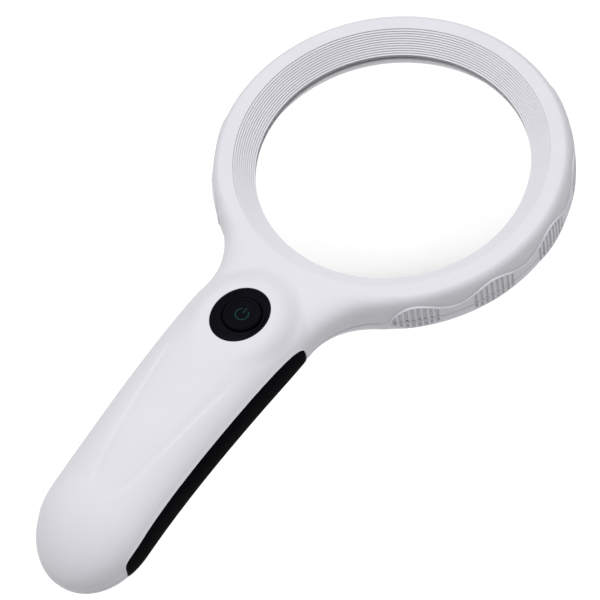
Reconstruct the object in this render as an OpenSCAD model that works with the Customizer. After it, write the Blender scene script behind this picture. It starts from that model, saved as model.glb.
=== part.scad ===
// Illuminated hand magnifier: a round lens in a hollow ring with a curved battery handle.
// Origin: centre of the ring on the lens axis. +Z is the side that faces the user's eye,
// -Y runs down the handle, so s below is the distance from the origin towards the handle's end.

/* [Ring] */
// Outside diameter of the ring
ring_d = 116; // [114:0.5:118]
// Thickness of the ring, face to face
ring_t = 17; // [16.6:0.1:18]
// Diameter of the front funnel at the ring's face
funnel_d = 101; // [100:0.5:102]
// Diameter of the clear opening over the lens
opening_d = 88; // [86:0.5:88]
// Depth of the front funnel
funnel_depth = 5.6; // [5.2:0.1:5.8]
// Number of fine steps turned in the funnel
step_count = 11; // [6:1:12]
// Width over which the ring's outer edge is rounded
ring_edge = 4.6; // [4:0.1:5]
// Height of the joint between the shells, measured from mid thickness
parting_z = -1.8; // [-2.2:0.1:-1.4]

/* [Lens] */
// Diameter of the lens
lens_d = 90.4; // [90:0.1:90.6]
// Thickness of the lens at its edge
lens_edge = 1.6; // [1.2:0.1:1.8]
// Radius of curvature of both lens faces
lens_r = 190; // [180:1:260]

/* [Handle] */
// Distance from the lens axis to the handle's end
handle_end = 171.8; // [168:0.1:176]
// Width of the handle next to the ring
handle_w = 41.6; // [41:0.1:43]
// Width of the handle where its end cap begins
handle_w_end = 37.8; // [37.4:0.1:39]
// Thickness of the handle
handle_t = 24; // [23.6:0.1:26]
// Length of the rounded end cap
cap_len = 23; // [21:0.5:25]
// Radius of the fillets between ring and handle
neck_r = 24; // [22:0.5:26]
// Radius of the handle's downward bend
bend_r = 300; // [280:5:340]
// Distance from the lens axis at which the bend begins
bend_start = 69; // [66:1:72]

/* [Button] */
// Distance of the button from the lens axis
button_s = 75.5; // [74.5:0.1:76]
// Diameter of the round push button
button_d = 12.4; // [12:0.1:12.6]
// Travel of the push button
button_travel = 0.9; // [0.5:0.1:1]

/* [Grips] */
// Height of each rubber side grip
grip_h = 10.8; // [9:0.1:11.4]
// Thickness of the rubber along its middle
grip_t = 1.5; // [1.2:0.1:1.5]
// Where the grips begin
grip_start = 71.5; // [71:0.5:74]
// Where the grips end
grip_end = 158.4; // [156:0.1:159]

/* [Battery bay] */
// Middle of the battery bay
bay_s = 124; // [123:0.5:125]
// Length of the battery door
door_l = 50; // [48:0.5:51]
// Width of the battery door
door_w = 32.4; // [32.2:0.1:32.4]

/* [Lighting] */
// Number of lamps round the lens
led_count = 12; // [6:1:16]
// Radius of the circle of lamps
led_circle_r = 49.2; // [49:0.1:49.4]

/* [Hidden] */

WHITE = [0.88, 0.88, 0.91];
BLACK = [0.05, 0.05, 0.06];
BOARD_GREEN = [0.10, 0.36, 0.20];
STEEL = [0.75, 0.75, 0.77];

FINE = 192;             // facets of round shapes seen from outside
MEDIUM = 48;            // facets of small round shapes
FAR = 200;              // longer than any feature, for cutting shapes
TINY = 0.05;            // gap between pieces that only rest on each other

// Ring
ring_r = ring_d / 2;
face_z = ring_t / 2;
funnel_r = funnel_d / 2;
opening_r = opening_d / 2;
lip_z = face_z - funnel_depth;
lip_bottom_z = lip_z - 0.7;
flat_r = ring_r - 3.5;
crown_extra = 0.15;     // the skin stands this much proud before its faces are turned flat
shell_wall = 1.9;
cavity_in_r = 46.9;
collar_r = cavity_in_r - 0.3;
cavity_out_r = ring_r - 1.8;

// Lens seat
seat_z = lip_bottom_z - 2.8;
lens_z = seat_z + lens_edge / 2;
gasket_z = seat_z + lens_edge;
seat_r = lens_d / 2 + 0.1;
seat_fall = 0.35;       // how far the seat drops towards its bore, to follow the lens face

// Lamp floor, board and diffuser at the back of the ring
floor_z = -5.2;
floor_t = 1.3;
recess_in_r = 46.2;
recess_out_r = 51.8;
board_t = 1.2;
led_size = [3.5, 2.8, 1.0];
window_r = 2.4;

// Handle
skin_n_ring = 3.4;      // exponent of the ring's edge curve
skin_n_handle = 2.3;    // exponent of the handle's oval section
cap_n = 2.2;            // exponent of the end cap
back_flat = 0.957;      // the handle's back is flat where its oval would pass this share of its depth
side_wall = 2.5;
rise_start = funnel_r;
rise_end = 82;
neck_s = sqrt((ring_r + neck_r) ^ 2 - (handle_w / 2 + neck_r) ^ 2);
cap_s = handle_end - cap_len;

// Button
pad_top_z = 11.4;
bezel_r = 9.05;
bezel_stretch = 1.4;    // how much further the bezel's oval reaches along the handle than across it
bezel_shift = 0.8;      // how much further down the handle the bezel's middle lies than the button's
bezel_bottom_z = 9;
bore_r = button_d / 2 + 0.3;
button_rim_z = 11.3;
dish_r = 30;
dish_depth = 1.45;
flange_r = 7.4;
flange_z = 8;
plunger_r = 1.7;
plunger_top_z = 7;
symbol_t = 0.15;
symbol_r = 2.0;

// Main board
pcb_z = 1.2;
pcb_w = 24.4;
pcb_l = 24;
pcb_s = 75.5;
switch_h = 3.6;
post_x = 9.8;
post_ds = 9.6;

// Battery bay, measured in the tilted frame at bay_s
cell_d = 10.5;
cell_l = 43.3;
cell_pip = 1.2;
cell_pitch = 10.75;
cell_z = -1.5;
tray_r = cell_d / 2 + 1.1;
tray_gap = 0.2;
tray_half_w = 15.1;
tray_l = 52.4;
tray_end = 1.2;
tab_x = 8.4;             // soldering tabs of the two end contacts
door_gap = 0.25;
door_t = 1.7;
spring_l = 4.4;

// Shell screws: [x, s, height of the head's seat above the skin]
SHELL_SCREWS = [[-14.8, 59.5, 4], [14.8, 59.5, 4], [-13, 93.2, 6], [13, 93.2, 6], [0, 158.6, 6.5]];
screw_r = 1.3;
screw_l = 9;
head_r = 2.5;
boss_r = 3.2;

// ---- Shape functions ----
function smooth(t) = let (u = max(0, min(1, t))) u * u * (3 - 2 * u);
function mix(a, b, t) = a + (b - a) * t;

// Height of the handle's centre line and its slope in degrees
function mid_z(s) = s <= bend_start ? 0 : sqrt(bend_r ^ 2 - (s - bend_start) ^ 2) - bend_r;
function tilt(s) = asin(max(0, s - bend_start) / bend_r);

// Shrinks the section to nothing over the end cap
function cap(s, end = handle_end) =
    let (e = max(0, min(1, (s - end + cap_len) / cap_len))) sqrt(max(0, 1 - e ^ cap_n));
function half_w(s) = mix(handle_w, handle_w_end, smooth((s - neck_s) / (cap_s - neck_s))) / 2;
function half_t(s) = mix(ring_t / 2, handle_t / 2, smooth((s - rise_start) / (rise_end - rise_start)));

// Oval x of the handle's flank at height z above the centre line
function flank_x(s, z) =
    let (h = half_t(s) * cap(s))
    half_w(s) * cap(s) * (max(0, 1 - abs(z / h) ^ skin_n_handle)) ^ (1 / skin_n_handle);
// Height of the handle's back at x
function back_z(s, x) =
    let (w = half_w(s) * cap(s), share = (max(0, 1 - abs(x / w) ^ skin_n_handle)) ^ (1 / skin_n_handle))
    mid_z(s) - half_t(s) * cap(s) * min(back_flat, share);

// ---- Outer skin of ring, neck and handle as one closed surface ----
ring_steps = 44;
neck_steps = 10;
side_steps = 14;
cap_steps = 10;
neck_x = handle_w / 2 + neck_r;
neck_angle = atan2(neck_x, -neck_s);    // ring angle, from +Y, at which the neck fillet begins

// Half outline in plan as [x, s], from the top of the ring to the handle's end
outline = concat(
    [for (i = [0 : ring_steps - 1]) let (a = neck_angle * i / ring_steps) ring_r * [sin(a), -cos(a)]],
    [for (i = [0 : neck_steps - 1])
        let (a0 = atan2(neck_s, neck_x), a = 180 + a0 * (1 - i / neck_steps))
        [neck_x + neck_r * cos(a), neck_s + neck_r * sin(a)]],
    [for (i = [0 : side_steps - 1]) let (s = mix(neck_s, cap_s, i / side_steps)) [half_w(s), s]],
    [for (i = [0 : cap_steps]) let (s = cap_s + cap_len * sin(89.2 * i / cap_steps)) [half_w(s) * cap(s), s]]);

// For each outline point, the point of the funnel's rim or of the centre line that it is joined to
inner = [for (i = [0 : len(outline) - 1])
    i < ring_steps ? outline[i] * funnel_r / ring_r
    : i < ring_steps + neck_steps ?
        let (a = mix(neck_angle, 180, (i - ring_steps) / neck_steps)) funnel_r * [sin(a), -cos(a)]
    : let (s = outline[i][1], t = (s - neck_s) / (handle_end - neck_s))
        [0, s - (neck_s - funnel_r) * (1 - t) ^ 6]];

// 0 on the ring, 1 on the handle
blend = [for (i = [0 : len(outline) - 1]) smooth((i - ring_steps + 3) / (neck_steps + 3))];
first_shared = ring_steps + neck_steps;
skin_angles = [90, 72, 56, 42, 30, 19, 9, 0, -9, -19, -30, -42, -56, -72, -90];
levels = len(skin_angles);

function skin_point(i, a) =
    let (n = mix(skin_n_ring, skin_n_handle, blend[i]),
        span = norm(inner[i] - outline[i]),
        reach = mix(ring_edge, span, blend[i]),
        flat = abs(a) == 90,
        d = flat ? span : reach * (1 - cos(a) ^ (2 / n)),
        p = outline[i] + (inner[i] - outline[i]) * d / span,
        share = abs(sin(a)) ^ (2 / n),
        f = a < 0 ? -min(share, mix(1, back_flat, blend[i])) : share,
        h = (half_t(p[1]) + crown_extra) * cap(p[1]))
    [p[0], -p[1], mid_z(p[1]) + h * f];

module body_skin() {
    count = len(outline);
    right = [for (i = [0 : count - 1]) for (k = [0 : levels - 1]) skin_point(i, skin_angles[k])];
    points = concat(right, [for (p = right) [-p[0], p[1], p[2]]]);
    function shared(i, k) = i == 0 || (i >= first_shared && (k == 0 || k == levels - 1));
    function at(side, i, k) = i * levels + k + (side == 1 && !shared(i, k) ? count * levels : 0);
    quads = [for (i = [0 : count - 2]) for (k = [0 : levels - 2]) [i, k]];
    right_faces = [for (q = quads) each [
        [at(0, q[0], q[1]), at(0, q[0] + 1, q[1] + 1), at(0, q[0] + 1, q[1])],
        [at(0, q[0], q[1]), at(0, q[0], q[1] + 1), at(0, q[0] + 1, q[1] + 1)]]];
    left_faces = [for (q = quads) each [
        [at(1, q[0], q[1]), at(1, q[0] + 1, q[1]), at(1, q[0] + 1, q[1] + 1)],
        [at(1, q[0], q[1]), at(1, q[0] + 1, q[1] + 1), at(1, q[0], q[1] + 1)]]];
    function disc(k) = concat([for (i = [0 : first_shared]) at(0, i, k)],
        [for (i = [first_shared - 1 : -1 : 1]) at(1, i, k)]);
    function reversed(v) = [for (i = [len(v) - 1 : -1 : 0]) v[i]];
    tip = concat([for (k = [0 : levels - 1]) at(0, count - 1, k)],
        [for (k = [levels - 2 : -1 : 1]) at(1, count - 1, k)]);
    faces = concat(right_faces, left_faces, [disc(0), reversed(disc(levels - 1)), tip]);
    polyhedron(points, faces, convexity = 6);
}

// ---- General helpers ----

// Solid through a list of sections, each the same number of points; both ends are closed
module loft(sections) {
    m = len(sections[0]);
    n = len(sections);
    points = [for (section = sections) for (p = section) p];
    sides = [for (i = [0 : n - 2]) for (k = [0 : m - 1]) let (j = (k + 1) % m) each [
        [i * m + k, i * m + j, (i + 1) * m + j],
        [i * m + k, (i + 1) * m + j, (i + 1) * m + k]]];
    start = [for (k = [m - 1 : -1 : 0]) k];
    end = [for (k = [0 : m - 1]) (n - 1) * m + k];
    polyhedron(points, concat(sides, [start, end]), convexity = 6);
}

// Round wire of radius r swept along points, with its sections held square to the path
module wire(path, r, sides = 8) {
    n = len(path);
    function unit(v) = v / norm(v);
    function direction(i) = unit(path[min(n - 1, i + 1)] - path[max(0, i - 1)]);
    function section(i) = let (d = direction(i), u = unit(cross(d, [0.3, 0.2, 1])), v = cross(d, u))
        [for (k = [0 : sides - 1]) path[i] + r * (u * cos(360 * k / sides) + v * sin(360 * k / sides))];
    loft([for (i = [0 : n - 1]) section(i)]);
}

// Points along a cubic curve from a to b that leaves and arrives along the given directions
function curve(a, da, b, db, steps) = [for (i = [0 : steps]) let (t = i / steps)
    a * (1 + 2 * t) * (1 - t) ^ 2 + b * t ^ 2 * (3 - 2 * t) + da * t * (1 - t) ^ 2 - db * t ^ 2 * (1 - t)];

// Oval round the button's bezel, long along Y, wider than the bezel by margin all round
module oval(margin = 0) {
    r = bezel_r + margin;
    translate([0, -bezel_shift])
        polygon([for (i = [0 : 95]) [r * cos(360 * i / 96), (r + bezel_stretch) * sin(360 * i / 96)]]);
}

module rounded_rect(w, l, r) {
    square([w - 2 * r, l], center = true);
    square([w, l - 2 * r], center = true);
    for (x = [-1, 1], y = [-1, 1]) translate([x * (w / 2 - r), y * (l / 2 - r)]) circle(r, $fn = MEDIUM);
}

module ring_of(profile, facets = FINE) {
    rotate_extrude($fn = facets) polygon(profile);
}

// Moves children into the handle's tilted frame at distance s
module at_handle(s) {
    translate([0, -s, mid_z(s)]) rotate([tilt(s), 0, 0]) children();
}

// Everything behind the joint between the shells
module behind_parting() {
    translate([-FAR / 2, -bend_start, parting_z - FAR]) cube([FAR, FAR, FAR]);
    intersection() {
        translate([-FAR / 2, -bend_start - FAR, -FAR]) cube([FAR, FAR, 2 * FAR]);
        translate([-FAR / 2, -bend_start, parting_z - bend_r]) rotate([0, 90, 0])
            cylinder(r = bend_r, h = FAR, $fn = 720);
    }
}

// ---- Cavities ----
module ring_cavity() {
    slope = funnel_depth / (funnel_r - opening_r);
    wall_angle = atan(slope);
    line_r = funnel_r + shell_wall * sin(wall_angle);
    line_z = face_z - shell_wall * cos(wall_angle);
    top_z = face_z - shell_wall;
    ring_of([[cavity_in_r, floor_z], [cavity_out_r, floor_z], [cavity_out_r, top_z - 2.2],
        [cavity_out_r - 1.8, top_z], [line_r - (line_z - top_z) / slope, top_z],
        [cavity_in_r, line_z - (line_r - cavity_in_r) * slope]]);
}

module handle_cavity(side = side_wall, wall = shell_wall) {
    first = 54;
    last = handle_end - 3.2;
    count = 22;
    around = 28;
    n = 2.5;
    loft([for (i = [0 : count])
        let (t = i / count, s = mix(first, last, 1 - (1 - t) ^ 1.5), c = cap(s, handle_end - 2.4),
            w = (half_w(s) - side) * c, h = (half_t(s) - wall) * c)
        [for (k = [0 : around - 1]) let (a = -360 * k / around)
            [w * sign(cos(a)) * abs(cos(a)) ^ (2 / n), -s, mid_z(s) + h * sign(sin(a)) * abs(sin(a)) ^ (2 / n)]]]);
}

// ---- Grips ----
function grip_half(s) =
    let (c = (grip_start + grip_end) / 2, u = abs(s - c) / ((grip_end - grip_start) / 2), n = 3.4)
    max(0.35, grip_h / 2 * (max(0, 1 - u ^ n)) ^ (1 / n));

// Rubber insert on the +X flank, thinner towards its long edges; proud moves its outer face outwards
module grip_solid(proud) {
    count = 30;
    across = 8;
    thinning = 0.45;
    loft([for (i = [0 : count])
        let (s = mix(grip_start, grip_end, (1 - cos(180 * i / count)) / 2), h = grip_half(s))
        concat(
            [for (k = [0 : across]) let (z = h * (1 - 2 * k / across)) [flank_x(s, z) + proud, -s, mid_z(s) + z]],
            [for (k = [across : -1 : 0])
                let (z = h * (1 - 2 * k / across), t = grip_t * (1 - thinning * (2 * z / grip_h) ^ 2))
                [flank_x(s, z) - t, -s, mid_z(s) + z]])]);
}

module grip_right() color(BLACK) grip_solid(0);
module grip_left() color(BLACK) mirror([1, 0, 0]) grip_solid(0);

module grip_recesses() {
    grip_solid(2);
    mirror([1, 0, 0]) grip_solid(2);
}

// ---- Shells ----

// Funnel, lip and lens clearance turned out of the front shell
module front_bore() {
    step = [funnel_r - opening_r, funnel_depth] / step_count;
    land_rise = 0.2;
    steps = [for (i = [1 : step_count]) each
        let (p = [opening_r, lip_z] + step * i)
        [p - [step[0] * 0.03, step[1] * (1 - land_rise)], p]];
    ring_of(concat([[0, face_z + 4], [0, -FAR / 4], [cavity_in_r + TINY, -FAR / 4],
        [cavity_in_r + TINY, lip_bottom_z], [opening_r, lip_bottom_z], [opening_r, lip_z]], steps,
        [[funnel_r, face_z + 4]]));
}

function seat_of(screw) = back_z(screw[1], screw[0]) + screw[2];

module front_shell() color(WHITE) {
    difference() {
        union() {
            difference() {
                union() {
                    body_skin();
                    translate([0, -button_s, face_z]) linear_extrude(pad_top_z - face_z)
                        oval(2.2);
                }
                behind_parting();
                translate([0, 0, face_z]) cylinder(r = flat_r, h = 10, $fn = FINE);
                ring_cavity();
                handle_cavity();
            }
            intersection() {
                union() {
                    for (screw = SHELL_SCREWS) translate([screw[0], -screw[1], -30])
                        cylinder(r = boss_r, h = 45, $fn = MEDIUM);
                    for (x = [-1, 1], d = [-1, 1]) translate([x * post_x, d * post_ds - pcb_s, pcb_z + board_t])
                        cylinder(r = 2.2, h = 10, $fn = MEDIUM);
                }
                front_inside();
            }
        }
        front_bore();
        translate([0, -button_s, -1]) linear_extrude(20) oval();
        grip_recesses();
        for (screw = SHELL_SCREWS) translate([screw[0], -screw[1], -30])
            cylinder(r = screw_r, h = 30 + seat_of(screw) + screw_l + 0.2, $fn = MEDIUM);
        for (x = [-1, 1], d = [-1, 1]) translate([x * post_x, d * post_ds - pcb_s, 0])
            cylinder(r = 0.9, h = 7, $fn = MEDIUM);
    }
}

// Space in front of the joint that bosses and posts of the front shell may fill
module front_inside() {
    difference() {
        handle_cavity(side_wall - 0.4, shell_wall - 0.4);
        behind_parting();
    }
}

module back_inside() {
    intersection() {
        handle_cavity(side_wall - 0.4, shell_wall - 0.4);
        behind_parting();
    }
}

// Inner collar of the back shell: lens seat, its wall and the cone behind the lens
module lens_collar() {
    ring_of([[opening_r, seat_z - seat_fall], [seat_r, seat_z], [seat_r, lip_bottom_z - TINY],
        [collar_r, lip_bottom_z - TINY], [collar_r, 0.4 - face_z], [opening_r + 1.3, 0.4 - face_z],
        [opening_r, seat_z - 1]]);
}

module door_opening(gap) {
    at_handle(bay_s) translate([0, 0, -20]) linear_extrude(15 - door_gap + gap)
        rounded_rect(door_w + 2 * gap, door_l + 2 * gap, 3 + gap);
}

module back_shell() color(WHITE) {
    difference() {
        union() {
            difference() {
                intersection() {
                    body_skin();
                    behind_parting();
                }
                translate([0, 0, -face_z - 10]) cylinder(r = flat_r, h = 10, $fn = FINE);
                translate([0, 0, -20]) cylinder(r = recess_in_r + 0.1, h = 40, $fn = FINE);
                ring_cavity();
                handle_cavity();
            }
            lens_collar();
            intersection() {
                for (screw = SHELL_SCREWS) translate([screw[0], -screw[1], -30])
                    cylinder(r = boss_r, h = 45, $fn = MEDIUM);
                back_inside();
            }
        }
        ring_of([[recess_in_r, floor_z - floor_t], [recess_out_r, floor_z - floor_t],
            [recess_out_r, -face_z - 1], [recess_in_r, -face_z - 1]]);
        door_opening(door_gap);
        grip_recesses();
        for (screw = SHELL_SCREWS) translate([screw[0], -screw[1], -40]) {
            cylinder(r = head_r + 0.3, h = 40 + seat_of(screw), $fn = MEDIUM);
            cylinder(r = screw_r + 0.25, h = 50, $fn = MEDIUM);
        }
        for (i = [0 : led_count - 1]) rotate(360 * (i + 0.5) / led_count)
            translate([led_circle_r, 0, floor_z - floor_t - 1]) cylinder(r = window_r, h = 3, $fn = MEDIUM);
    }
}

module battery_door() color(WHITE) {
    difference() {
        intersection() {
            body_skin();
            door_opening(0);
        }
        handle_cavity(side_wall - 0.7, door_t);
        at_handle(bay_s) for (i = [-2 : 2]) translate([0, door_l / 2 - 6 + 1.6 * i, -back_flat * half_t(bay_s) - 1.15])
            cube([11 - 1.5 * abs(i), 0.7, 2], center = true);
    }
}

// ---- Lens ----
module lens() color([0.92, 0.97, 1, 0.35]) {
    centre = lens_r - sqrt(lens_r ^ 2 - (lens_d / 2) ^ 2);
    offset_z = lens_r - centre - lens_edge / 2;
    translate([0, 0, lens_z]) intersection() {
        translate([0, 0, -offset_z]) sphere(lens_r, $fn = 360);
        translate([0, 0, offset_z]) sphere(lens_r, $fn = 360);
        cylinder(r = lens_d / 2, h = 40, center = true, $fn = FINE);
    }
}

module lens_gasket() color(BLACK) {
    ring_of([[opening_r + 0.35, gasket_z + seat_fall], [lens_d / 2, gasket_z + TINY], [lens_d / 2, lip_bottom_z],
        [opening_r + 0.35, lip_bottom_z]]);
}

// ---- Lighting ----
module led_board() color(BOARD_GREEN) {
    ring_of([[cavity_in_r + 0.3, floor_z + TINY], [recess_out_r + 0.3, floor_z + TINY],
        [recess_out_r + 0.3, floor_z + TINY + board_t], [cavity_in_r + 0.3, floor_z + TINY + board_t]]);
}

module leds() color([0.95, 0.9, 0.6]) {
    for (i = [0 : led_count - 1]) rotate(360 * (i + 0.5) / led_count)
        translate([led_circle_r, 0, floor_z + TINY - led_size[2] / 2]) cube(led_size, center = true);
}

module led_diffuser() color([0.95, 0.96, 0.97]) {
    top = floor_z - floor_t - TINY;
    ring_of([[recess_in_r + TINY, top], [recess_in_r + TINY, top - 1.4], [recess_in_r + 0.35, top - 1.7],
        [recess_out_r - 0.35, top - 1.7], [recess_out_r - TINY, top - 1.4], [recess_out_r - TINY, top]]);
}

// ---- Button ----
module at_button() translate([0, -button_s, 0]) children();

module button_bezel() color(BLACK) at_button() {
    difference() {
        translate([0, 0, bezel_bottom_z]) linear_extrude(pad_top_z - bezel_bottom_z) oval();
        translate([0, -bezel_shift, pad_top_z + dish_r - dish_depth]) sphere(dish_r, $fn = 180);
        cylinder(r = bore_r, h = 30, $fn = 96);
    }
}

module power_button() color(BLACK) at_button() {
    difference() {
        union() {
            translate([0, 0, flange_z]) cylinder(r = flange_r, h = 0.9, $fn = 96);
            translate([0, 0, flange_z]) cylinder(d = button_d, h = button_rim_z - flange_z, $fn = 96);
            translate([0, 0, plunger_top_z]) cylinder(r = plunger_r, h = 2, $fn = MEDIUM);
        }
        translate([0, 0, button_rim_z - 0.75]) cylinder(r1 = 3.7, r2 = 5.8, h = 0.751, $fn = 96);
    }
}

module power_symbol() color([0.08, 0.25, 0.2]) at_button() translate([0, 0, button_rim_z - 0.75]) {
    stroke = 0.45;
    linear_extrude(symbol_t) {
        difference() {
            circle(symbol_r + stroke / 2, $fn = 64);
            circle(symbol_r - stroke / 2, $fn = 64);
            polygon([[0, 0], [-2.4, 4], [2.4, 4]]);
        }
        translate([-stroke / 2, 0.3]) square([stroke, symbol_r + 0.2]);
    }
}

module switch_body() color([0.2, 0.2, 0.22]) at_button() {
    difference() {
        translate([-3.1, -3.1, pcb_z + board_t]) cube([6.2, 6.2, switch_h]);
        translate([0, 0, pcb_z + board_t + 0.6]) cylinder(r = plunger_r + 0.3, h = 10, $fn = MEDIUM);
    }
}

module switch_plunger() color([0.9, 0.9, 0.85]) at_button() {
    translate([0, 0, pcb_z + board_t + 0.6 + button_travel + 0.1])
        cylinder(r = plunger_r, h = plunger_top_z - pcb_z - board_t - 0.7 - button_travel, $fn = MEDIUM);
}

// ---- Main board ----
module main_board() color(BOARD_GREEN) {
    difference() {
        translate([-pcb_w / 2, -pcb_s - pcb_l / 2, pcb_z]) cube([pcb_w, pcb_l, board_t]);
        for (x = [-1, 1], d = [-1, 1]) translate([x * post_x, d * post_ds - pcb_s, 0])
            cylinder(r = 1.1, h = 5, $fn = MEDIUM);
    }
}

module board_screws() color(STEEL) {
    for (x = [-1, 1], d = [-1, 1]) translate([x * post_x, d * post_ds - pcb_s, pcb_z]) {
        cylinder(r = 0.9, h = 5.4, $fn = MEDIUM);
        difference() {
            translate([0, 0, -1.2]) cylinder(r = 1.8, h = 1.2, $fn = MEDIUM);
            for (turn = [0, 90]) rotate(turn) translate([0, 0, -1.2]) cube([2.2, 0.5, 1], center = true);
        }
    }
}

module driver_chip() color([0.08, 0.08, 0.09]) {
    translate([4.6, -pcb_s - 5.4, pcb_z - 1.5]) cube([4.9, 3.9, 1.5]);
}

module chip_resistors() color([0.12, 0.12, 0.12]) {
    for (i = [0 : 2]) translate([-8.5, -pcb_s - 5 + 3.4 * i, pcb_z - 0.6]) cube([3.2, 1.6, 0.6]);
}

// ---- Battery bay ----
module cell(flip) {
    rotate([flip ? 180 : 0, 0, 0]) rotate([90, 0, 0]) {
        translate([0, 0, -cell_l / 2]) cylinder(d = cell_d, h = cell_l, $fn = MEDIUM);
        translate([0, 0, cell_l / 2 - 1]) cylinder(r = 1.9, h = 1 + cell_pip, $fn = MEDIUM);
    }
}

module cell_at(i) {
    shift = i == 0 ? -1 : 1;
    at_handle(bay_s) translate([i * cell_pitch, shift * 1.5, cell_z]) cell(i != 0);
}

module battery_left() color([0.25, 0.3, 0.35]) cell_at(-1);
module battery_middle() color([0.25, 0.3, 0.35]) cell_at(0);
module battery_right() color([0.25, 0.3, 0.35]) cell_at(1);

// Cradle over the cells with an end wall at each end
module battery_tray() color([0.12, 0.12, 0.13]) {
    at_handle(bay_s) difference() {
        intersection() {
            union() for (i = [-1 : 1]) translate([i * cell_pitch, tray_l / 2, cell_z]) rotate([90, 0, 0])
                cylinder(r = tray_r, h = tray_l, $fn = 64);
            translate([-tray_half_w, -FAR / 2, cell_z - 4.5]) cube([2 * tray_half_w, FAR, FAR]);
            union() {
                translate([-FAR / 2, -FAR / 2, cell_z + 0.5]) cube([FAR, FAR, FAR]);
                for (y = [-1, 1]) translate([0, y * (tray_l - tray_end) / 2, 0])
                    cube([FAR, tray_end, FAR], center = true);
            }
        }
        for (i = [-1 : 1]) translate([i * cell_pitch, tray_l / 2 - tray_end, cell_z]) rotate([90, 0, 0])
            cylinder(r = cell_d / 2 + tray_gap, h = tray_l - 2 * tray_end, $fn = 64);
        for (x = [-1, 1]) translate([x * tab_x, tray_l / 2, cell_z + 2.6]) cube([2.2, 5, 0.8], center = true);
    }
}

plate_y = tray_l / 2 - tray_end - 0.4;

module contact_plates() color(STEEL) at_handle(bay_s) {
    for (x = [-1, 1]) {
        translate([x * cell_pitch, plate_y + 0.2, cell_z]) cube([7, 0.4, 7], center = true);
        translate([x * tab_x, tray_l / 2 - 0.3, cell_z + 2.6]) cube([2, 2.6, 0.4], center = true);
    }
    translate([0, plate_y + 0.2, cell_z]) cube([7, 0.4, 7], center = true);
    translate([0, -plate_y - 0.2, cell_z]) cube([7, 0.4, 7], center = true);
    for (x = [-1, 1]) translate([x * cell_pitch, -plate_y - 0.2, cell_z]) cube([7, 0.4, 7], center = true);
}

// Coil spring standing on an end plate, y towards the cell
module contact_spring(x, from_y, towards) {
    turns = 4;
    steps = 12;
    r = 0.3;
    path = [for (i = [0 : turns * steps])
        let (t = i / (turns * steps), a = 360 * i / steps, coil = mix(3, 1.7, t))
        [x + coil * cos(a), from_y + towards * mix(r + TINY, spring_l - r - TINY, t), cell_z + coil * sin(a)]];
    wire(path, r, 6);
}

module contact_springs() color(STEEL) at_handle(bay_s) {
    for (x = [-1, 1]) contact_spring(x * cell_pitch, -plate_y, 1);
    contact_spring(0, plate_y, -1);
}

// ---- Wires ----
wire_r = 0.6;

module led_wire(x) {
    wire(curve([x, -50.5, floor_z + TINY + board_t + wire_r], [0, -8, 3],
        [x * 1.5, -pcb_s + pcb_l / 2 - 2, pcb_z - wire_r - TINY], [0, -8, 0], 10), wire_r);
}

// Solder tab of an outer contact plate, in the object's frame
function tab_point(x) =
    let (a = tilt(bay_s), y = tray_l / 2 + 1 + wire_r, z = cell_z + 2.6)
    [x, -bay_s + y * cos(a) - z * sin(a), mid_z(bay_s) + y * sin(a) + z * cos(a)];

module battery_wire(side) {
    wire(curve(tab_point(side * tab_x), [0, 8, 1],
        [side * 3.5, -pcb_s - pcb_l / 2 + 2, pcb_z - wire_r - TINY], [0, 6, 0], 10), wire_r);
}

module wire_led_positive() color([0.7, 0.08, 0.06]) led_wire(-2.2);
module wire_led_negative() color(BLACK) led_wire(2.2);
module wire_battery_positive() color([0.7, 0.08, 0.06]) battery_wire(-1);
module wire_battery_negative() color(BLACK) battery_wire(1);

// ---- Fasteners ----
module shell_screws() color(STEEL) {
    for (screw = SHELL_SCREWS) translate([screw[0], -screw[1], seat_of(screw)]) {
        cylinder(r = screw_r, h = screw_l, $fn = MEDIUM);
        difference() {
            translate([0, 0, -1.7]) cylinder(r = head_r, h = 1.7, $fn = MEDIUM);
            for (turn = [0, 90]) rotate(turn) translate([0, 0, -1.7]) cube([3, 0.7, 1.6], center = true);
        }
    }
}

front_shell();
back_shell();
lens();
lens_gasket();
led_board();
leds();
led_diffuser();
grip_left();
grip_right();
button_bezel();
power_button();
power_symbol();
switch_body();
switch_plunger();
main_board();
driver_chip();
chip_resistors();
battery_tray();
battery_left();
battery_middle();
battery_right();
contact_plates();
contact_springs();
battery_door();
wire_led_positive();
wire_led_negative();
wire_battery_positive();
wire_battery_negative();
shell_screws();
board_screws();
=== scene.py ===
"""Looks of the illuminated hand magnifier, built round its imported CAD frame.

Lengths in the building functions are millimetres in the part's frame; to_object() turns them into metres.
s is the distance from the lens axis down the handle, so a point's y is -s.
"""
import math
import bmesh
import bpy
import numpy as np
from mathutils import Matrix, Vector


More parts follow.
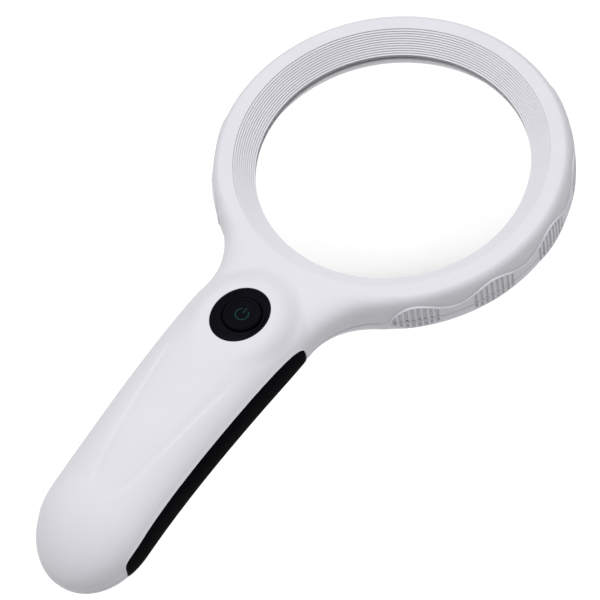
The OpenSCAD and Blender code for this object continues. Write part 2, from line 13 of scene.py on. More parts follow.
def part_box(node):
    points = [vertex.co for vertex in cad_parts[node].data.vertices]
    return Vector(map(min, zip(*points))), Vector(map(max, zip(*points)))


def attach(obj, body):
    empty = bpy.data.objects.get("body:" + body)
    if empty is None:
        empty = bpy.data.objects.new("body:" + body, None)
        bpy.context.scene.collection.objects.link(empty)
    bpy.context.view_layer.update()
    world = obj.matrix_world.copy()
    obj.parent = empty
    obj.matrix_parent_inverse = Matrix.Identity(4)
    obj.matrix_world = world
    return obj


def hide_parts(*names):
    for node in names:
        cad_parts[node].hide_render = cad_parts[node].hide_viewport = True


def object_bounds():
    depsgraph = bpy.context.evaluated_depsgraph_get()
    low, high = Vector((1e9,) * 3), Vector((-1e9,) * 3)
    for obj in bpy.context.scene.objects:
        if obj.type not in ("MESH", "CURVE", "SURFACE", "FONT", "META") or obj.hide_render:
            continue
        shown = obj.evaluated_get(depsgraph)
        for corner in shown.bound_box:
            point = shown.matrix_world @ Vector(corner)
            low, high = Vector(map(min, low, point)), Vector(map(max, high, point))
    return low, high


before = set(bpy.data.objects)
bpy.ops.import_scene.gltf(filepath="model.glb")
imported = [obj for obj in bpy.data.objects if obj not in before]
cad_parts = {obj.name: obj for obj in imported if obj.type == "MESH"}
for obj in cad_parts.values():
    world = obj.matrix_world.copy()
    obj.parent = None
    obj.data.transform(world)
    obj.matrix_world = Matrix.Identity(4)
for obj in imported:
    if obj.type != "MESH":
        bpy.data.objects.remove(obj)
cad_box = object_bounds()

MM = 0.001


def box_mm(node):
    """Lowest and highest corners of a CAD node in millimetres."""
    lo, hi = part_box(node)
    return [v / MM for v in lo], [v / MM for v in hi]


# ---- Dimensions read from the frame ----
front_lo, front_hi = box_mm("front_shell")
bezel_lo, bezel_hi = box_mm("button_bezel")
button_lo, button_hi = box_mm("power_button")
symbol_lo, symbol_hi = box_mm("power_symbol")
gasket_lo, gasket_hi = box_mm("lens_gasket")
lens_lo, lens_hi = box_mm("lens")
diffuser_lo, diffuser_hi = box_mm("led_diffuser")

RING_R = front_hi[0]
HANDLE_END = -front_lo[1]
PAD_TOP_Z = bezel_hi[2]
BUTTON_S = -(button_lo[1] + button_hi[1]) / 2
BEZEL_S = -(bezel_lo[1] + bezel_hi[1]) / 2
BEZEL_R = bezel_hi[0]
BEZEL_STRETCH = (bezel_hi[1] - bezel_lo[1]) / 2 - BEZEL_R
LIP_BOTTOM_Z = gasket_hi[2]
LENS_R = lens_hi[0]
LENS_Z = (lens_lo[2] + lens_hi[2]) / 2
DIFFUSER_R = diffuser_hi[0]

# ---- The other driving dimensions, as the part has them ----
FACE_Z = 8.5             # the ring's flat front face; the back face lies as far below zero
FUNNEL_R = 50.5          # outer radius of the funnel
OPENING_R = 44.0         # radius of the clear opening
FUNNEL_DEPTH = 5.6
FUNNEL_STEPS = 11
RING_EDGE = 4.6          # how far the ring's rounded edge reaches in
PARTING = -1.8           # height of the line where the shells meet
HANDLE_W, HANDLE_W_END, HANDLE_T = 41.6, 37.8, 24.0
BACK_FLAT = 0.957        # the handle's back is flat where its oval would pass this share of its depth
CAP_LEN, CAP_N = 23.0, 2.2
NECK_R = 24.0            # radius of the hollow corners between ring and handle
BEND_R, BEND_START = 300.0, 69.0
RISE_END = 82.0          # where the handle reaches its full thickness
N_RING, N_HANDLE = 3.4, 2.3     # exponents of the two cross sections
WALL, SIDE_WALL, RING_WALL = 1.9, 2.5, 1.8
GRIP_START, GRIP_END, GRIP_HALF, GRIP_T = 71.5, 158.4, 5.4, 1.5
GRIP_THINNING = 0.45     # share of the rubber's thickness that its long edges lack
BAY_S, DOOR_L, DOOR_W, DOOR_GAP = 124.0, 50.0, 32.4, 0.25
LED_COUNT, LED_CIRCLE_R, WINDOW_R = 12, 49.2, 2.4
CAVITY_IN_R, COLLAR_R = 46.9, 46.6
FLOOR_Z, FLOOR_T = -5.2, 1.3    # top and thickness of the floor behind the lamps
RECESS_IN_R, RECESS_OUT_R = 46.2, 51.8
SCREWS = [(-14.8, 59.5, 4.0), (14.8, 59.5, 4.0), (-13.0, 93.2, 6.0), (13.0, 93.2, 6.0), (0.0, 158.6, 6.5)]
HEAD_R, BOSS_R = 2.5, 3.2

# ---- Dimensions of the finer forms ----
LIP_HANG = 0.35          # how far the lip's inner edge hangs down in front of the gasket
RISER = 0.78             # share of each funnel step's drop that is taken by its riser
GRIP_N = 5.0             # exponent of the grip's outline, blunter the higher it is
GRIP_TIP = 0.35          # half its height at the very ends
RIM_PROUD = 0.25         # height of the fine rim round each grip
RIM_SPREAD = 0.45        # distance over which that rim falls away
PAD_SINK = 0.05          # how far the button's pad stays below the bezel's edge
LIP_Z = FACE_Z - FUNNEL_DEPTH
HANDLE_END_FULL = HANDLE_END + 0.002    # keeps the last column of skin off the very tip
CAP_S = HANDLE_END_FULL - CAP_LEN
NECK_X = HANDLE_W / 2 + NECK_R
NECK_S = math.sqrt((RING_R + NECK_R) ** 2 - NECK_X ** 2)
NECK_ANGLE = math.atan2(NECK_X, -NECK_S)
FAR = 60.0               # reach of cutters that go right through


# ---- Shape functions, the same as the part's ----
def smooth(t):
    """Soft step from 0 to 1."""
    u = np.clip(t, 0, 1)
    return u * u * (3 - 2 * u)


def mid_z(s):
    """Height of the handle's middle line."""
    return np.sqrt(BEND_R ** 2 - np.maximum(s - BEND_START, 0) ** 2) - BEND_R


def tilt(s):
    """Angle by which the handle has bent down."""
    return math.asin(max(0, s - BEND_START) / BEND_R)


def cap(s, end=HANDLE_END_FULL):
    """Share of the full width and thickness that is left where the handle rounds off to its end."""
    e = np.clip((s - end + CAP_LEN) / CAP_LEN, 0, 1)
    return np.sqrt(np.maximum(0, 1 - e ** CAP_N))


def half_w(s):
    """Half the handle's width before its end rounds off."""
    return (HANDLE_W + (HANDLE_W_END - HANDLE_W) * smooth((s - NECK_S) / (CAP_S - NECK_S))) / 2


def half_t(s):
    """Half the thickness before the end rounds off."""
    return FACE_Z + (HANDLE_T / 2 - FACE_Z) * smooth((s - FUNNEL_R) / (RISE_END - FUNNEL_R))


def flank_x(s, z):
    """Where the handle's flank lies at height z above its middle line."""
    h = half_t(s) * cap(s)
    return half_w(s) * cap(s) * np.maximum(0, 1 - np.abs(z / h) ** N_HANDLE) ** (1 / N_HANDLE)


def back_z(s, x):
    """Height of the handle's back."""
    share = np.maximum(0, 1 - abs(x / (half_w(s) * cap(s))) ** N_HANDLE) ** (1 / N_HANDLE)
    return mid_z(s) - half_t(s) * cap(s) * np.minimum(BACK_FLAT, share)


# ---- Mesh helpers ----
def to_object(name, verts, faces, sharp=28):
    """A mesh object from millimetre vertices, smooth except across edges sharper than sharp degrees."""
    mesh = bpy.data.meshes.new(name)
    mesh.from_pydata((np.asarray(verts, float) * MM).tolist(), [], [tuple(int(i) for i in f) for f in faces])
    mesh.validate()
    obj = bpy.data.objects.new(name, mesh)
    bpy.context.scene.collection.objects.link(obj)
    shade(obj, sharp)
    return obj


def shade(obj, sharp=28):
    """Smooth shading, except across edges sharper than sharp degrees."""
    obj.data.shade_smooth()
    obj.data.set_sharp_from_angle(angle=math.radians(sharp))


def grid_faces(rows, cols, start=0, wrap=False):
    """Quads between the points of a grid stored row by row."""
    last = cols if wrap else cols - 1
    return [(start + r * cols + c, start + r * cols + (c + 1) % cols,
             start + (r + 1) * cols + (c + 1) % cols, start + (r + 1) * cols + c)
            for r in range(rows - 1) for c in range(last)]


def revolve(name, profile, steps=256, sharp=28):
    """Closed profile of (r, z) points turned about Z; points on the axis are merged to one."""
    profile = np.asarray(profile, float)
    a = np.linspace(0, 2 * math.pi, steps, endpoint=False)
    verts, rings = [], []
    for r, z in profile:
        if r < 1e-6:
            rings.append([len(verts)] * steps)
            verts.append((0, 0, z))
        else:
            rings.append(list(range(len(verts), len(verts) + steps)))
            verts.extend(zip(r * np.cos(a), r * np.sin(a), np.full(steps, z)))
    faces = []
    for j in range(len(rings)):
        lower, upper = rings[j], rings[(j + 1) % len(rings)]
        for k in range(steps):
            quad = [lower[k], lower[(k + 1) % steps], upper[(k + 1) % steps], upper[k]]
            unique = list(dict.fromkeys(quad))
            if len(unique) > 2:
                faces.append(unique)
    return to_object(name, verts, faces, sharp)


def loft(name, sections, sharp=28):
    """Closed solid through sections of equal point counts."""
    count, around = len(sections), len(sections[0])
    verts = np.concatenate([np.asarray(s, float) for s in sections])
    faces = grid_faces(count, around, wrap=True)
    faces.append(tuple(range(around - 1, -1, -1)))
    faces.append(tuple(range((count - 1) * around, count * around)))
    return to_object(name, verts, faces, sharp)


def outward(obj):
    """Turns the faces outwards, as the booleans and the glass need."""
    bm = bmesh.new()
    bm.from_mesh(obj.data)
    if bm.calc_volume(signed=True) < 0:
        bmesh.ops.reverse_faces(bm, faces=bm.faces)
    bm.to_mesh(obj.data)
    bm.free()
    return obj


def boolean(target, tools, operation="DIFFERENCE"):
    """Applies each tool to the target with the manifold solver, and removes the tools."""
    for tool in tools:
        outward(tool)
        modifier = target.modifiers.new("cut", "BOOLEAN")
        modifier.operation = operation
        modifier.solver = "MANIFOLD"
        modifier.object = tool
        depsgraph = bpy.context.evaluated_depsgraph_get()
        result = bpy.data.meshes.new_from_object(target.evaluated_get(depsgraph))
        target.modifiers.clear()
        old = target.data
        target.data = result
        bpy.data.meshes.remove(old)
        bpy.data.objects.remove(tool)


def handle_matrix(s):
    """From the handle's tilted frame at distance s to the part's frame, in millimetres."""
    return Matrix.Translation((0, -s, float(mid_z(s)))) @ Matrix.Rotation(tilt(s), 4, "X")


def moved(verts, matrix):
    """Points taken through a matrix."""
    v = np.asarray(verts, float)
    m = np.array(matrix)
    return v @ m[:3, :3].T + m[:3, 3]


def extrude(name, loop, z0, z1, matrix=None):
    """Straight prism of a 2D loop from z0 to z1, placed by matrix."""
    loop = np.asarray(loop, float)
    n = len(loop)
    bottom = np.column_stack([loop, np.full(n, z0)])
    top = np.column_stack([loop, np.full(n, z1)])
    verts = np.concatenate([bottom, top])
    if matrix is not None:
        verts = moved(verts, matrix)
    faces = grid_faces(2, n, wrap=True) + [tuple(range(n - 1, -1, -1)), tuple(range(n, 2 * n))]
    return to_object(name, verts, faces)


def circle_loop(r, steps=48, x=0.0, y=0.0):
    a = np.linspace(0, 2 * math.pi, steps, endpoint=False)
    return np.column_stack([x + r * np.cos(a), y + r * np.sin(a)])


def oval_loop(r, share=1.0, steps=160):
    """Loop between the button's circle (share 0) and the bezel's oval (share 1), r wide across the handle."""
    a = np.linspace(0, 2 * math.pi, steps, endpoint=False)
    centre = BUTTON_S + (BEZEL_S - BUTTON_S) * share
    return np.column_stack([r * np.cos(a), (r + BEZEL_STRETCH * share) * np.sin(a) - centre])


def rounded_rect_loop(width, length, r, steps=10):
    points = []
    for cx, cy, start in ((1, 1, 0), (-1, 1, 90), (-1, -1, 180), (1, -1, 270)):
        for k in range(steps + 1):
            a = math.radians(start + 90 * k / steps)
            points.append((cx * (width / 2 - r) + r * math.cos(a), cy * (length / 2 - r) + r * math.sin(a)))
    return points


# ---- Thumb pads round the ring: degrees from the handle ----
PAD_FIRST, PAD_PITCH, PAD_LAST = 44.5, 26.2, 149.3
PAD_HALF = 7.7
BAND_START = PAD_FIRST - PAD_HALF - 0.6     # where the wavy band begins
BAND_RUN_IN = 6.5                           # over which its rounded start grows to full height


def wave_phase(phi):
    """Pad number as a continuous count along the ring: whole numbers are pad centres."""
    near = (phi - PAD_FIRST) / PAD_PITCH
    far = (PAD_LAST - PAD_FIRST) / PAD_PITCH + (phi - PAD_LAST) / (180 - PAD_LAST)
    return np.where(phi <= PAD_LAST, near, far)


# ---- Outline of the housing in plan ----
RING_COLS, NECK_COLS, SIDE_COLS, CAP_COLS = 560, 44, 170, 56
PAD_DENSITY = 1.8        # extra columns on a pad, as a share of those beside it
CAP_SWEEP = 89.2         # degrees of the end's rounding that the columns cover
BLEND_SHARE = 3 / 44     # share of the ring's columns that already turn into the handle's section


def plan():
    """Outline points, the points they are joined to, and the blend from ring to handle, column by column."""
    fine = np.linspace(0, NECK_ANGLE, 4000)
    phase = wave_phase(180 - np.degrees(fine))
    on_pad = np.abs(phase - np.round(phase)) * PAD_PITCH < PAD_HALF + 0.5
    count = np.concatenate([[0], np.cumsum(1 + PAD_DENSITY * on_pad[1:])])
    ring_a = np.interp(np.arange(RING_COLS) / RING_COLS, count / count[-1], fine)
    ring = RING_R * np.column_stack([np.sin(ring_a), -np.cos(ring_a)])
    a0 = math.atan2(NECK_S, NECK_X)
    neck_a = math.pi + a0 * (1 - np.arange(NECK_COLS) / NECK_COLS)
    neck = np.column_stack([NECK_X + NECK_R * np.cos(neck_a), NECK_S + NECK_R * np.sin(neck_a)])
    side_s = NECK_S + (CAP_S - NECK_S) * np.arange(SIDE_COLS) / SIDE_COLS
    cap_s = CAP_S + CAP_LEN * np.sin(math.radians(CAP_SWEEP) * np.arange(CAP_COLS + 1) / CAP_COLS)
    side = np.column_stack([half_w(side_s), side_s])
    end = np.column_stack([half_w(cap_s) * cap(cap_s), cap_s])
    outline = np.concatenate([ring, neck, side, end])
    inner = outline.copy()
    inner[:RING_COLS] = ring * FUNNEL_R / RING_R
    rim_a = NECK_ANGLE + (math.pi - NECK_ANGLE) * np.arange(NECK_COLS) / NECK_COLS
    inner[RING_COLS:RING_COLS + NECK_COLS] = FUNNEL_R * np.column_stack([np.sin(rim_a), -np.cos(rim_a)])
    s = outline[RING_COLS + NECK_COLS:, 1]
    t = (s - NECK_S) / (HANDLE_END_FULL - NECK_S)
    inner[RING_COLS + NECK_COLS:, 0] = 0
    inner[RING_COLS + NECK_COLS:, 1] = s - (NECK_S - FUNNEL_R) * (1 - t) ** 6
    index = np.arange(len(outline))
    fade = RING_COLS * BLEND_SHARE
    blend = smooth((index - RING_COLS + fade) / (NECK_COLS + fade))
    return outline, inner, blend


OUTLINE, INNER, BLEND = plan()
SHARED = RING_COLS + NECK_COLS


# ---- Relief on the ring's side: the wave-edged band and its ribbed thumb pads ----
BAND_PROUD = 0.5
BAND_ABOVE, SWING_ABOVE = 5.0, 1.9      # mean reach above the parting line, and the wave's swing
BAND_BELOW, SWING_BELOW = 2.9, 0.7      # the same below it
LEDGE = 0.26             # height over which the band's edge falls back
RIB_PITCH = 1.95
RIB_DEPTH = 0.6
PAD_BORDER = 0.5         # plain strip between the band's edge and the ribs
RIB_SOFT = 0.4           # distance over which the ribs fade in
RING_BAND_FROM, RING_BAND_FADE = 33, 6      # degrees from the handle where the ring's side steps in


def band_edge(phi, lower):
    """Distance of the band's edge from the parting line at angle phi from the handle."""
    swing = np.cos(2 * math.pi * wave_phase(phi))
    edge = np.where(lower, BAND_BELOW + SWING_BELOW * swing, BAND_ABOVE + SWING_ABOVE * swing)
    rounded = np.sqrt(np.clip(1 - np.clip((BAND_START + BAND_RUN_IN - phi) / BAND_RUN_IN, 0, 1) ** 2, 0, 1))
    return edge * np.where(phi < BAND_START, 0, rounded)


def ring_relief(phi, z):
    """Height of the relief at angle phi from the handle and height z above the parting line."""
    edge = band_edge(phi, z < 0)
    band = smooth((edge + LEDGE / 2 - np.abs(z)) / LEDGE)
    phase = wave_phase(phi)
    near_pad = np.abs(phase - np.round(phase)) * np.where(phi <= PAD_LAST, PAD_PITCH, 180 - PAD_LAST)
    along = near_pad * math.pi / 180 * RING_R
    half_pad = PAD_HALF * math.pi / 180 * RING_R
    inside = smooth((edge - PAD_BORDER - np.abs(z)) / RIB_SOFT) * smooth((half_pad - along) / RIB_SOFT)
    gap = smooth((0.2 - np.cos(2 * math.pi * along / RIB_PITCH)) / 0.55)
    return BAND_PROUD * band - RIB_DEPTH * gap * inside * (band > 0.5)


def column_levels(start, turn, rows, phi=None, side=1):
    """Rows of one column from the parting line to the rounding, gathered on the band's edge if it has one."""
    if phi is None:
        return np.linspace(start, turn, rows)
    middle = (max(0.7, float(band_edge(phi, side < 0))) + side * PARTING) / FACE_Z
    low, high = middle - LEDGE / 2 / FACE_Z, middle + LEDGE / 2 / FACE_Z
    below = rows * 4 // 7
    return np.concatenate([np.linspace(start, low, below)[:-1], np.linspace(low, high, 4),
                           np.linspace(high, turn, rows - below - 2)[1:]])


# ---- Relief on the handle's top: the pad round the button and the long crease ----
CREASE_S = [88.0, 93.2, 102.0, 110.0, 119.0, 127.0, 136.0, 141.5, 146.0, 150.0]
CREASE_X = [14.2, 13.2, 12.3, 11.1, 9.9, 8.8, 7.4, 6.1, 4.6, 2.6]
CREASE_DIP = 0.46
CREASE_FROM, CREASE_GROW = 90, 16       # where the dip begins, and over which it deepens
CREASE_TO, CREASE_END = 141, 9          # where it starts to fade, and over which
CREASE_STEP = 1.5        # width of the step at its outer side
CREASE_SPREAD = 3.2      # distance inwards over which the dip fades
PAD_MARGIN, PAD_FALL = 0.6, 8.0     # the pad is level this far outside the bezel, then falls away


def crease_relief(x, s):
    """Shallow dip on the right of the handle's top, deepest beside a soft step that runs down its length."""
    line = np.interp(s, CREASE_S, CREASE_X)
    depth = CREASE_DIP * smooth((s - CREASE_FROM) / CREASE_GROW) * (1 - smooth((s - CREASE_TO) / CREASE_END))
    inward = line - np.abs(x)
    dish = np.exp(-np.maximum(inward, 0) / CREASE_SPREAD)
    step = smooth(inward / CREASE_STEP + 0.5)
    return -depth * dish * step * (x > 0)


def bezel_distance(x, s):
    """Distance outside the button's oval."""
    return np.hypot(x, (s - BEZEL_S) * BEZEL_R / (BEZEL_R + BEZEL_STRETCH)) - BEZEL_R


# ---- The grips' outline, thickness and rim ----
def rubber_t(z):
    """Thickness of the rubber at height z, less towards its long edges."""
    return GRIP_T * (1 - GRIP_THINNING * (z / GRIP_HALF) ** 2)


def grip_outline(s):
    """Half the grip's height at distance s."""
    centre = (GRIP_START + GRIP_END) / 2
    u = abs(s - centre) / ((GRIP_END - GRIP_START) / 2)
    return max(GRIP_TIP, GRIP_HALF * max(0, 1 - u ** GRIP_N) ** (1 / GRIP_N))


def grip_rim(z_rel, s):
    """Lift of the fine rim round a grip, at height z_rel above the centre line."""
    half = np.array([grip_outline(v) for v in np.clip(s, GRIP_START, GRIP_END)])
    past = np.maximum(GRIP_START - s, 0) + np.maximum(s - GRIP_END, 0)
    away = np.hypot(np.maximum(np.abs(z_rel) - half[:, None], 0), past[:, None])
    return RIM_PROUD * np.exp(-(away / RIM_SPREAD) ** 2)


# ---- Skin ----
FRONT_ROWS, FRONT_ROUND = 46, 30
BACK_ROWS, BACK_ROUND = 34, 30
PART_BEVEL = 0.3         # bevel where the shells meet
ROUND_FROM = 0.72        # share of the half thickness above which the rows follow the rounding
ROUND_N = 2.8            # exponent that spaces those rows
LOWEST_START = 0.8       # the parting line lies off the middle by at most this share of the half thickness
TOP_FROM, TOP_FADE = 0.3, 0.3       # share of the half thickness where the top's relief begins, and its fade


def flattened(f, softness=0.012):
    """f, levelled off softly where it nears the flat of the handle's back."""
    return BACK_FLAT - softness * np.log1p(np.exp((BACK_FLAT - f) / softness))


def skin(side):
    """Right half of one shell's outer surface as an array [column, row, xyz], row 0 at the parting line."""
    span = np.linalg.norm(INNER - OUTLINE, axis=1)
    n = N_RING + (N_HANDLE - N_RING) * BLEND
    reach = RING_EDGE + (span - RING_EDGE) * BLEND
    s_col = OUTLINE[:, 1]
    h_col = half_t(s_col) * cap(s_col)
    part = -np.minimum(-PARTING / h_col, LOWEST_START)
    flat_rows, round_rows = (FRONT_ROWS, FRONT_ROUND) if side > 0 else (BACK_ROWS, BACK_ROUND)
    a = np.linspace(math.asin(ROUND_FROM ** (ROUND_N / 2)), math.pi / 2, round_rows + 1)[1:]
    rounded = np.sin(a) ** (2 / ROUND_N)
    columns = []
    for i in range(len(OUTLINE)):
        start = part[i] * side
        phi = math.degrees(math.atan2(*OUTLINE[i])) if i < RING_COLS else None
        columns.append(np.concatenate([column_levels(start, ROUND_FROM, flat_rows, phi, side), rounded]))
    f = np.array(columns)
    curve = np.maximum(0, 1 - np.abs(f) ** n[:, None]) ** (1 / n[:, None])
    d = reach[:, None] * (1 - curve)
    d[:, -1] = span
    direction = (INNER - OUTLINE) / span[:, None]
    xs = OUTLINE[:, None, :] + direction[:, None, :] * d[:, :, None]
    s = xs[:, :, 1]
    h = half_t(s) * cap(s)
    height = f if side > 0 else f + (flattened(f) - f) * BLEND[:, None]
    z = mid_z(s) + side * h * height
    points = np.dstack([xs[:, :, 0], -s, z])

    # Bevel along the parting line, then the relief, both along the outline's normal in plan.
    normal = -direction
    bevel = PART_BEVEL * np.exp(-np.arange(f.shape[1]) * 1.1)
    lift = -np.repeat(bevel[None, :], len(OUTLINE), 0) * np.minimum(1, h_col / 4)[:, None]
    phi = np.degrees(np.arctan2(OUTLINE[:RING_COLS, 0], OUTLINE[:RING_COLS, 1]))
    above = z[:RING_COLS] - PARTING
    relief = ring_relief(phi[:, None], above)
    side_fade = smooth(curve[:RING_COLS] / 0.5 - 0.4)
    set_back = BAND_PROUD * smooth((phi[:, None] - RING_BAND_FROM) / RING_BAND_FADE)
    lift[:RING_COLS] += (relief - set_back) * side_fade
    handle = slice(RING_COLS + NECK_COLS // 2, None)
    lift[handle] += grip_rim((z - mid_z(s))[handle], OUTLINE[handle, 1])
    points[:, :, 0] += normal[:, None, 0] * lift
    points[:, :, 1] -= normal[:, None, 1] * lift
    if side > 0:
        x, s = points[:, :, 0], -points[:, :, 1]
        on_top = smooth((f - TOP_FROM) / TOP_FADE) * (s > NECK_S - 20)
        points[:, :, 2] += crease_relief(x, s) * on_top
        raised = (1 - smooth((bezel_distance(x, s) - PAD_MARGIN) / PAD_FALL)) * on_top
        points[:, :, 2] += (PAD_TOP_Z - PAD_SINK - points[:, :, 2]) * raised
    return points


def shell_solid(name, side):
    """Closed solid between one shell's skin and the parting surface, still without its hollows."""
    right = skin(side)
    columns, rows = right.shape[:2]
    right[0, :, 0] = 0
    right[SHARED:, -1, 0] = 0
    left = right.copy()
    left[:, :, 0] *= -1
    verts = np.concatenate([right.reshape(-1, 3), left.reshape(-1, 3)])
    index = np.arange(columns * rows).reshape(columns, rows)
    other = index + columns * rows
    other[0, :] = index[0, :]
    other[SHARED:, -1] = index[SHARED:, -1]
    faces = []
    for grid, flip in ((index, side < 0), (other, side > 0)):
        quads = np.stack([grid[:-1, :-1], grid[1:, :-1], grid[1:, 1:], grid[:-1, 1:]], -1).reshape(-1, 4)
        faces.extend((quads if flip else quads[:, ::-1]).tolist())
    disc = list(index[:SHARED + 1, -1]) + list(other[SHARED - 1:0:-1, -1])
    tip = list(index[-1, :]) + list(other[-1, -2::-1])
    parting = np.stack([index[:-1, 0], other[:-1, 0], other[1:, 0], index[1:, 0]], -1).tolist()
    parting[0] = [index[0, 0], other[1, 0], index[1, 0]]
    if side > 0:
        faces.append(disc)
        faces.append(tip)
        faces.extend(parting)
    else:
        faces.append(disc[::-1])
        faces.append(tip[::-1])
        faces.extend([f[::-1] for f in parting])
    obj = to_object(name, verts, faces)
    drop_loose(obj)
    return obj


def drop_loose(obj):
    """Removes points that no face uses, and turns the faces outwards."""
    bm = bmesh.new()
    bm.from_mesh(obj.data)
    bmesh.ops.delete(bm, geom=[v for v in bm.verts if not v.link_faces], context="VERTS")
    bmesh.ops.recalc_face_normals(bm, faces=bm.faces)
    if bm.calc_volume(signed=True) < 0:
        bmesh.ops.reverse_faces(bm, faces=bm.faces)
    bm.to_mesh(obj.data)
    bm.free()


# ---- Cutters ----
def ring_cavity():
    """Hollow of the ring, under the funnel's slope."""
    slope = FUNNEL_DEPTH / (FUNNEL_R - OPENING_R)
    angle = math.atan(slope)
    line_r = FUNNEL_R + WALL * math.sin(angle)
    line_z = FACE_Z - WALL * math.cos(angle)
    top = FACE_Z - WALL
    out_r = RING_R - RING_WALL
    return revolve("ring_cavity", [
        (CAVITY_IN_R, FLOOR_Z), (out_r, FLOOR_Z), (out_r, top - 2.2), (out_r - 1.8, top),
        (line_r - (line_z - top) / slope, top), (CAVITY_IN_R, line_z - (line_r - CAVITY_IN_R) * slope)])


def handle_cavity(side=SIDE_WALL, wall=WALL):
    """Hollow of the handle, which opens into the ring's."""
    n, around, count = 2.5, 72, 60
    first, last, rounding_end = 54, HANDLE_END_FULL - 3.2, HANDLE_END_FULL - 2.4
    sections = []
    for i in range(count + 1):
        t = i / count
        s = first + (last - first) * (1 - (1 - t) ** 1.5)
        c = float(cap(s, rounding_end))
        w, h = (float(half_w(s)) - side) * c, (float(half_t(s)) - wall) * c
        a = np.linspace(0, 2 * math.pi, around, endpoint=False)
        x = w * np.sign(np.cos(a)) * np.abs(np.cos(a)) ** (2 / n)
        z = float(mid_z(s)) + h * np.sign(np.sin(a)) * np.abs(np.sin(a)) ** (2 / n)
        sections.append(np.column_stack([x, np.full(around, -s), z]))
    return loft("handle_cavity", sections)


def front_bore():
    """Funnel turned in fine steps, a sloping land and a riser each, then the lip and its clearance."""
    width, drop = (FUNNEL_R - OPENING_R) / FUNNEL_STEPS, FUNNEL_DEPTH / FUNNEL_STEPS
    profile = [(0, FACE_Z + 4), (0, -FAR), (CAVITY_IN_R + 0.05, -FAR), (CAVITY_IN_R + 0.05, LIP_BOTTOM_Z),
               (OPENING_R + 0.3, LIP_BOTTOM_Z), (OPENING_R + 0.3, LIP_BOTTOM_Z - LIP_HANG),
               (OPENING_R, LIP_BOTTOM_Z - LIP_HANG), (OPENING_R, LIP_Z)]
    for i in range(FUNNEL_STEPS):
        r, z = OPENING_R + width * i, LIP_Z + drop * i
        land_z = z + drop * (1 - RISER)
        profile += [(r + width * 0.86, land_z - 0.01), (r + width * 0.90, land_z - 0.04),
                    (r + width * 0.97, land_z - 0.04), (r + width * 0.99, land_z + 0.03)]
        if i < FUNNEL_STEPS - 1:
            profile += [(r + width * 0.99, z + drop - 0.04), (r + width + 0.04, z + drop)]
    outer = FUNNEL_R + 0.1
    profile += [(FUNNEL_R + 0.02, FACE_Z - 0.06), (outer, FACE_Z + 0.02), (outer, FACE_Z + 4)]
    return revolve("front_bore", profile, 512)


def grip_recess(side, gap=0.1):
    """Pocket in the flank for a rubber insert."""
    sections = []
    count, across = 80, 10
    length = GRIP_END - GRIP_START + 2 * gap
    for i in range(count + 1):
        s = GRIP_START - gap + length * (1 - math.cos(math.pi * i / count)) / 2
        h = grip_outline(min(max(s, GRIP_START), GRIP_END)) + gap
        z = h * (1 - 2 * np.arange(across + 1) / across)
        flank = flank_x(s, z)
        outer = np.column_stack([side * (flank + 2), np.full(across + 1, -s), float(mid_z(s)) + z])
        inner = np.column_stack([side * (flank - rubber_t(z)), np.full(across + 1, -s), float(mid_z(s)) + z])
        sections.append(np.concatenate([outer, inner[::-1]]))
    return loft("grip_recess", sections)


def door_prism(gap, top=-5.0, name="door_opening"):
    """Block with the door's outline, widened by gap, square to the tilted handle."""
    loop = rounded_rect_loop(DOOR_W + 2 * gap, DOOR_L + 2 * gap, 3 + gap)
    return extrude(name, loop, -20, top, handle_matrix(BAY_S))


def upright(name, x, s, r, z0, z1, steps=48):
    """Round bar parallel to Z."""
    return extrude(name, circle_loop(r, steps, x, -s), z0, z1)


def screw_seat(x, s, depth):
    """Height of the face that the screw's head is pressed against."""
    return float(back_z(s, x)) + depth


# ---- Housing pieces ----
def make_front_shell():
    shell = shell_solid("front_shell_body", 1)
    cuts = [ring_cavity(), handle_cavity(), front_bore(),
            extrude("button_hole", oval_loop(BEZEL_R + 0.04), -1, 20), grip_recess(1), grip_recess(-1)]
    boolean(shell, cuts)
    shade(shell)
    return shell


def make_back_shell():
    shell = shell_solid("back_shell_body", -1)
    boolean(shell, [ring_cavity(), handle_cavity(),
                    extrude("ring_hole", circle_loop(RECESS_IN_R + 0.1, 256), -FAR, FAR)])
    seat_z = gasket_lo[2] - 1.65
    collar = revolve("collar", [
        (OPENING_R, seat_z - 0.35), (LENS_R + 0.1, seat_z), (LENS_R + 0.1, LIP_BOTTOM_Z - 0.05),
        (COLLAR_R, LIP_BOTTOM_Z - 0.05), (COLLAR_R, 0.4 - FACE_Z), (OPENING_R + 1.5, 0.4 - FACE_Z),
        (OPENING_R + 1.25, 0.6 - FACE_Z), (OPENING_R, seat_z - 1)])
    bosses = [upright("boss", x, s, BOSS_R, float(back_z(s, x)) + 0.9, screw_seat(x, s, depth) + 1.1)
              for x, s, depth in SCREWS]
    boolean(shell, [collar] + bosses, "UNION")
    cuts = [revolve("recess", [(RECESS_IN_R, FLOOR_Z - FLOOR_T), (RECESS_OUT_R, FLOOR_Z - FLOOR_T),
                               (RECESS_OUT_R, -FACE_Z + 0.25), (RECESS_OUT_R + 0.3, -FACE_Z - 0.05),
                               (RECESS_OUT_R + 0.3, -FACE_Z - 2), (RECESS_IN_R, -FACE_Z - 2)]),
            door_prism(DOOR_GAP), grip_recess(1), grip_recess(-1)]
    for x, s, depth in SCREWS:
        cuts.append(upright("counterbore", x, s, HEAD_R + 0.3, -FAR, screw_seat(x, s, depth)))
    for i in range(LED_COUNT):
        a = 2 * math.pi * (i + 0.5) / LED_COUNT
        cuts.append(upright("window", LED_CIRCLE_R * math.cos(a), -LED_CIRCLE_R * math.sin(a), WINDOW_R,
                            FLOOR_Z - FLOOR_T - 1, FLOOR_Z + 0.7))
    boolean(shell, cuts)
    shade(shell)
    return shell


